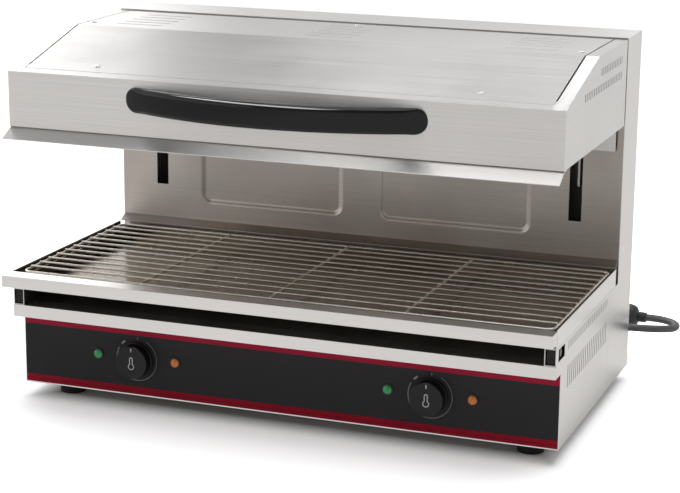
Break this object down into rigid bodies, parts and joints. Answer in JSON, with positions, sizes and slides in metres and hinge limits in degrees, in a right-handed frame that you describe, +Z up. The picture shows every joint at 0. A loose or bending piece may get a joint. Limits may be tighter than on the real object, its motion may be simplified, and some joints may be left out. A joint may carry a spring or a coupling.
{
  "type": "cheese melter",
  "caption": "Rise-and-fall cheese melter: louvred base with knobs, sliding tray with wire grid, and a heated hood that slides up and down a rear column.",
  "frame": {"origin": "on the floor under the middle of the footprint, the power cord left out", "axes": "+X to the right as seen from the front, +Y towards the column at the back, +Z up"},
  "size_m": [0.8605, 0.6673, 0.528],
  "materials": {
    "steel_sheet": "satin brushed stainless sheet",
    "plain_steel": "mill finish sheet",
    "tray_steel": "smooth stainless, a little discoloured",
    "grid_wire": "plated wire, warm tint",
    "ground_steel": "ground and plated",
    "zinc_screws": "zinc plated",
    "black_enamel": "semi-gloss black",
    "panel_film": "satin charcoal panel film with stripes",
    "black_plastic": "black thermoset",
    "switch_plastic": "cream moulding",
    "green_lens": "clear green",
    "amber_lens": "clear amber",
    "foot_rubber": "matte black",
    "cord_rubber": "matte black",
    "pin_brass": "nickel-plated brass",
    "bush_bronze": "sintered bronze",
    "element_sheath": "dark oxidised sheath",
    "mineral_wool": "soft fibre mat"
  },
  "bodies": {
    "base": {"base_floor": "plain_steel", "base_side_left": "steel_sheet", "base_side_right": "steel_sheet", "control_panel": "steel_sheet", "panel_overlay": "panel_film", "front_rail": "steel_sheet", "deck_plate": "black_enamel", "tray_runner_left": "plain_steel", "tray_runner_right": "plain_steel", "feet": "foot_rubber", "foot_screws": "zinc_screws", "lamp_bezels": "black_plastic", "power_lamp_lenses": "green_lens", "heat_lamp_lenses": "amber_lens", "thermostat_left": "switch_plastic", "thermostat_right": "switch_plastic", "terminal_block": "switch_plastic", "column_front_panel": "steel_sheet", "column_side_left": "steel_sheet", "column_side_right": "steel_sheet", "column_top_cap": "steel_sheet", "column_back_cover": "plain_steel", "back_cover_screws": "zinc_screws", "guide_rods": "ground_steel", "guide_rod_brackets": "plain_steel", "strut_cylinders": "black_enamel", "cable_gland": "cord_rubber", "power_cord_feed": "cord_rubber", "power_cord_coil": "cord_rubber", "power_cord_lead": "cord_rubber", "power_plug": "cord_rubber", "plug_pins": "pin_brass"},
    "hood": {"hood_shell": "steel_sheet", "hood_top_cover": "steel_sheet", "cover_screws": "zinc_screws", "hood_back_panel": "steel_sheet", "front_deflector": "steel_sheet", "handle": "black_plastic", "handle_screws": "zinc_screws", "reflector": "tray_steel", "heating_element_left": "element_sheath", "heating_element_right": "element_sheath", "element_hangers": "plain_steel", "insulation": "mineral_wool", "hood_terminals": "switch_plastic", "lift_arm_left": "plain_steel", "lift_arm_right": "plain_steel", "carriage_left": "plain_steel", "carriage_right": "plain_steel", "carriage_bar": "plain_steel", "guide_bushes": "bush_bronze", "strut_rods": "ground_steel"},
    "tray": {"grill_tray": "tray_steel", "tray_front_bar": "steel_sheet"},
    "grid": {"wire_grid": "grid_wire"},
    "knob_left": {"knob_left": "black_plastic", "knob_spindle_left": "ground_steel"},
    "knob_right": {"knob_right": "black_plastic", "knob_spindle_right": "ground_steel"}
  },
  "joints": [
    {"name": "hood_lift", "type": "slide", "parent": "base", "child": "hood", "axis": [0, 0, 1], "range_m": [-0.13, 0]},
    {"name": "tray_slide", "type": "slide", "parent": "base", "child": "tray", "axis": [0, -1, 0], "range_m": [0, 0.28]},
    {"name": "grid_lift", "type": "slide", "parent": "tray", "child": "grid", "axis": [0, 0, 1], "range_m": [0, 0.03]},
    {"name": "knob_left_turn", "type": "hinge", "parent": "base", "child": "knob_left", "pos_m": [-0.2185, -0.1673, 0.076], "axis": [0, 1, 0], "range_deg": [0, 270]},
    {"name": "knob_right_turn", "type": "hinge", "parent": "base", "child": "knob_right", "pos_m": [0.2185, -0.1673, 0.076], "axis": [0, 1, 0], "range_deg": [0, 270]}
  ]
}
